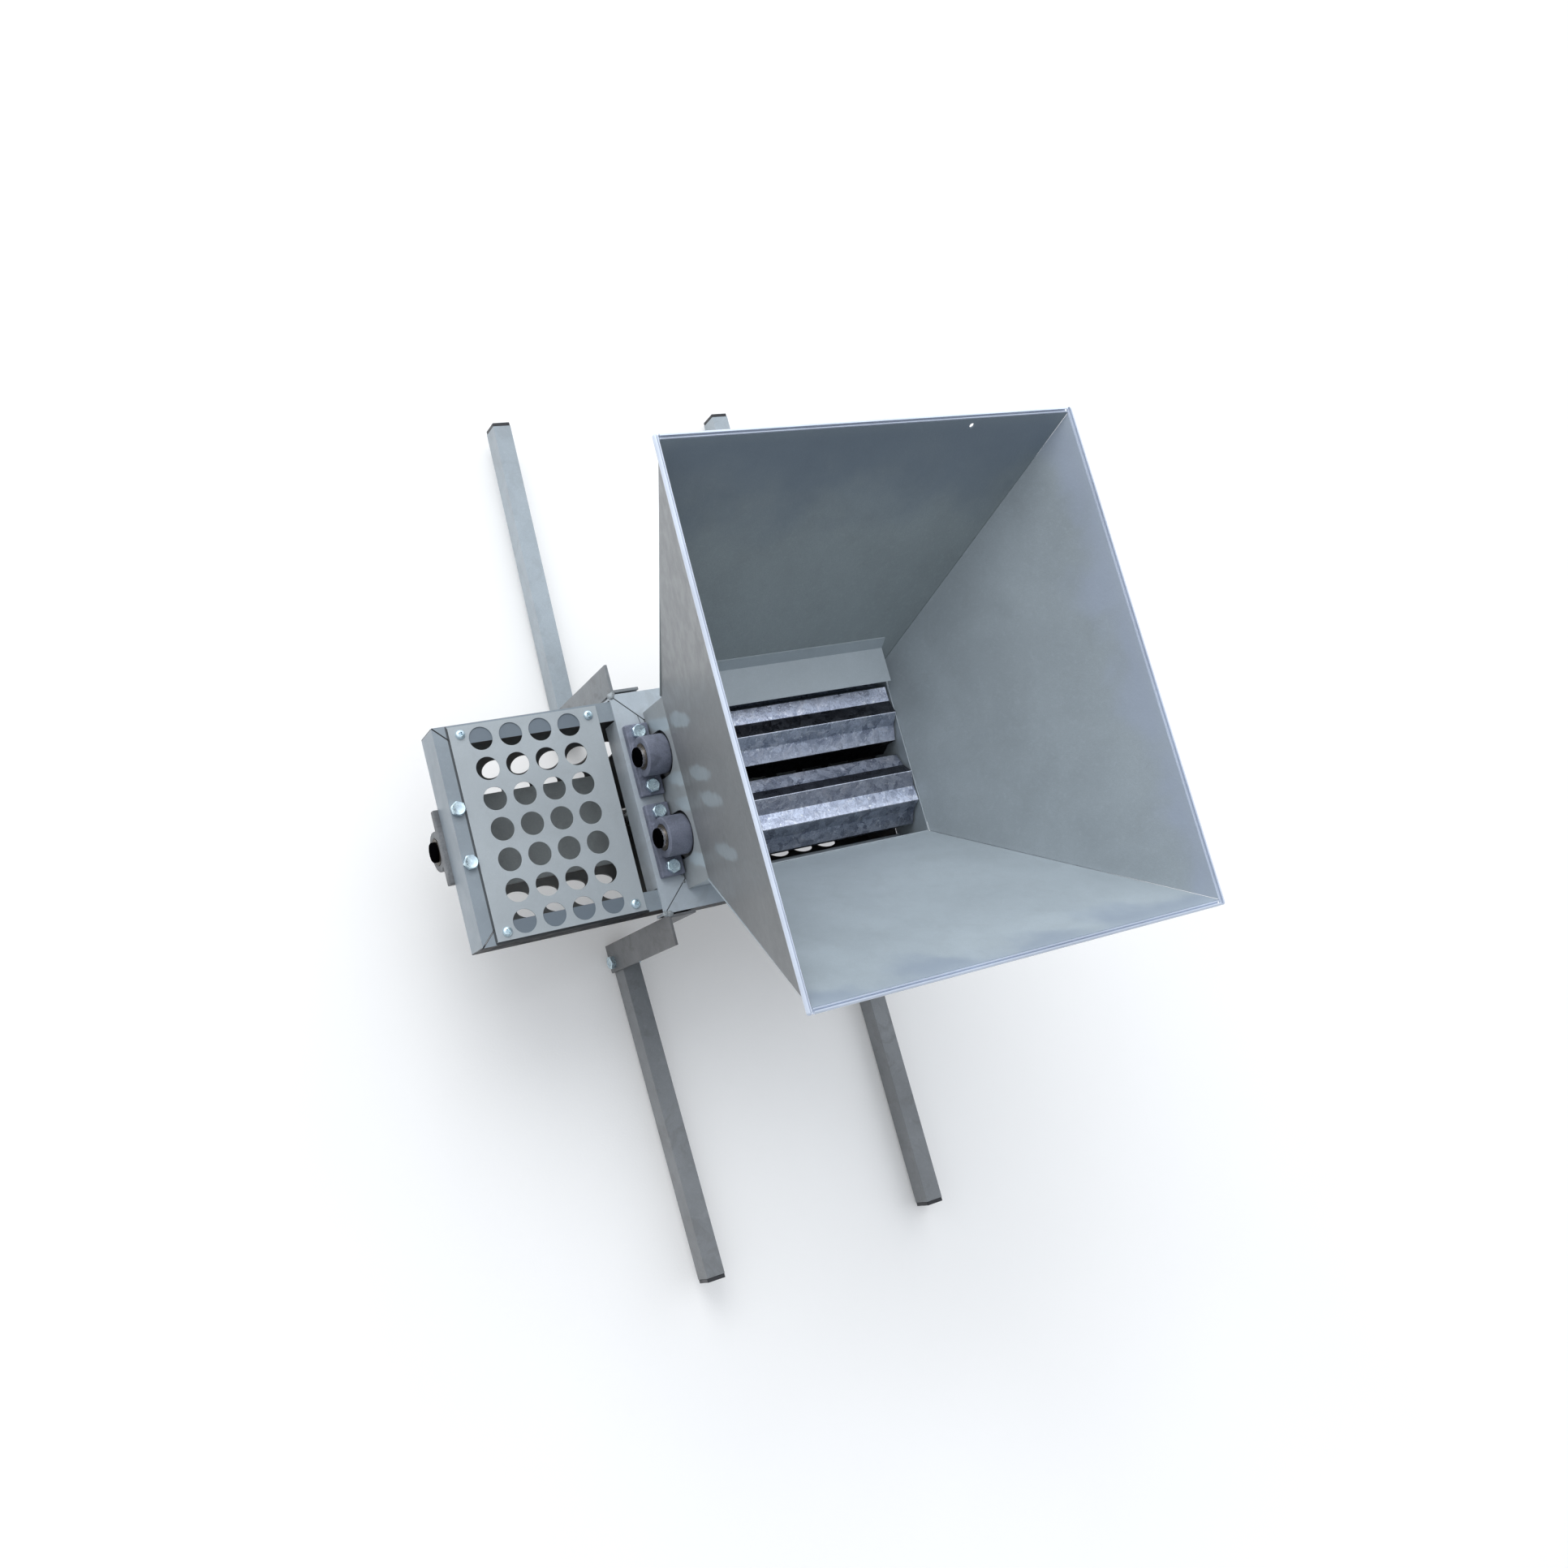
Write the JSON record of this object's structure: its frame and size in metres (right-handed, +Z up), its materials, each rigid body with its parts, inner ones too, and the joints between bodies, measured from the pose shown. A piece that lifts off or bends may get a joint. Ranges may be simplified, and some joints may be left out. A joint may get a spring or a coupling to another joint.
{
  "type": "grape destemmer",
  "caption": "Hand-cranked grape crusher and destemmer: sloping sheet hopper over fluted rollers, geared paddle rotor in a perforated trough, folding legs.",
  "frame": {"origin": "centre of the overall bounding box at its bottom, level with the lower ends of the corner brackets", "axes": "+X along the rollers, from the stem outlet to the crank; +Y to the back, across the rollers and along the folded-out legs; +Z up"},
  "size_m": [0.681, 0.9574, 0.5056],
  "materials": {
    "enamel": "semi-gloss light blue-grey enamel",
    "leg_paint": "semi-gloss mid grey enamel",
    "zinc": "bright zinc plated",
    "cast_paint": "painted casting, purple-grey",
    "cast_light": "painted casting, light grey",
    "bronze": "machined bronze",
    "steel": "machined, dark",
    "galvanised": "hot-dip galvanised, spangled",
    "black_plastic": "moulded, satin"
  },
  "bodies": {
    "frame": {"trough_left_rail": "enamel", "trough_right_rail": "enamel", "trough_front_rail": "enamel", "trough_back_rail": "enamel", "cover_plate": "enamel", "cover_screws": "zinc", "sieve_trough": "enamel", "trough_end_plate": "enamel", "frame_left_member": "enamel", "frame_right_member": "enamel", "frame_front_member": "enamel", "frame_back_member": "enamel", "bracket_front_left": "leg_paint", "bracket_back_left": "leg_paint", "bracket_front_right": "leg_paint", "bracket_back_right": "leg_paint", "hopper_left_wall": "enamel", "hopper_right_wall": "enamel", "hopper_front_wall": "enamel", "hopper_back_wall": "enamel", "neck_left_wall": "enamel", "neck_right_wall": "enamel", "neck_front_wall": "enamel", "neck_back_wall": "enamel", "guard_strip": "enamel", "housing_front_left": "cast_paint", "housing_back_left": "cast_paint", "housing_front_right": "cast_paint", "housing_back_right": "cast_paint", "rotor_housing_left": "cast_light", "rotor_housing_right": "cast_light", "bearing_bushes": "bronze", "bearing_bolts": "zinc", "bearing_nuts": "zinc", "leg_pivot_bolts": "zinc", "leg_pivot_nuts": "zinc"},
    "roller_front": {"roller_front_shaft": "steel", "roller_front_shell": "galvanised", "roller_front_discs": "steel", "roller_front_gear": "steel", "crank_arm": "leg_paint", "crank_pin": "zinc"},
    "roller_back": {"roller_back_shaft": "steel", "roller_back_shell": "galvanised", "roller_back_discs": "steel", "roller_back_gear": "steel", "rotor_drive_gear": "steel"},
    "rotor": {"rotor_pinion": "steel", "rotor_shaft": "steel", "rotor_fingers": "leg_paint", "discharge_paddle": "leg_paint"},
    "grip": {"crank_grip": "black_plastic"},
    "leg_front_left": {"leg_front_left": "leg_paint", "cap_front_left": "black_plastic"},
    "leg_back_left": {"leg_back_left": "leg_paint", "cap_back_left": "black_plastic"},
    "leg_front_right": {"leg_front_right": "leg_paint", "cap_front_right": "black_plastic"},
    "leg_back_right": {"leg_back_right": "leg_paint", "cap_back_right": "black_plastic"}
  },
  "joints": [
    {"name": "roller_front_turn", "type": "hinge", "parent": "frame", "child": "roller_front", "pos_m": [0.01, -0.04125, 0.21129], "axis": [1, 0, 0], "continuous": true},
    {"name": "roller_back_turn", "type": "hinge", "parent": "frame", "child": "roller_back", "pos_m": [0.01, 0.04125, 0.21129], "axis": [1, 0, 0], "continuous": true},
    {"name": "rotor_turn", "type": "hinge", "parent": "frame", "child": "rotor", "pos_m": [0.01, 0, 0.12571], "axis": [1, 0, 0], "continuous": true},
    {"name": "grip_turn", "type": "hinge", "parent": "roller_front", "child": "grip", "pos_m": [0.26, 0.04125, 0.06839], "axis": [1, 0, 0], "continuous": true},
    {"name": "leg_front_left_fold", "type": "hinge", "parent": "frame", "child": "leg_front_left", "pos_m": [-0.1317, -0.134, 0.014], "axis": [1, 0, 0], "range_deg": [0, 93.2]},
    {"name": "leg_back_left_fold", "type": "hinge", "parent": "frame", "child": "leg_back_left", "pos_m": [-0.1317, 0.134, 0.014], "axis": [-1, 0, 0], "range_deg": [0, 93.2]},
    {"name": "leg_front_right_fold", "type": "hinge", "parent": "frame", "child": "leg_front_right", "pos_m": [0.1477, -0.134, 0.014], "axis": [1, 0, 0], "range_deg": [0, 91]},
    {"name": "leg_back_right_fold", "type": "hinge", "parent": "frame", "child": "leg_back_right", "pos_m": [0.1477, 0.134, 0.014], "axis": [-1, 0, 0], "range_deg": [0, 91]}
  ],
  "couplings": [
    {"joint": "roller_back_turn", "follows": "roller_front_turn", "ratio": -1},
    {"joint": "rotor_turn", "follows": "roller_front_turn", "ratio": 2.1667}
  ]
}
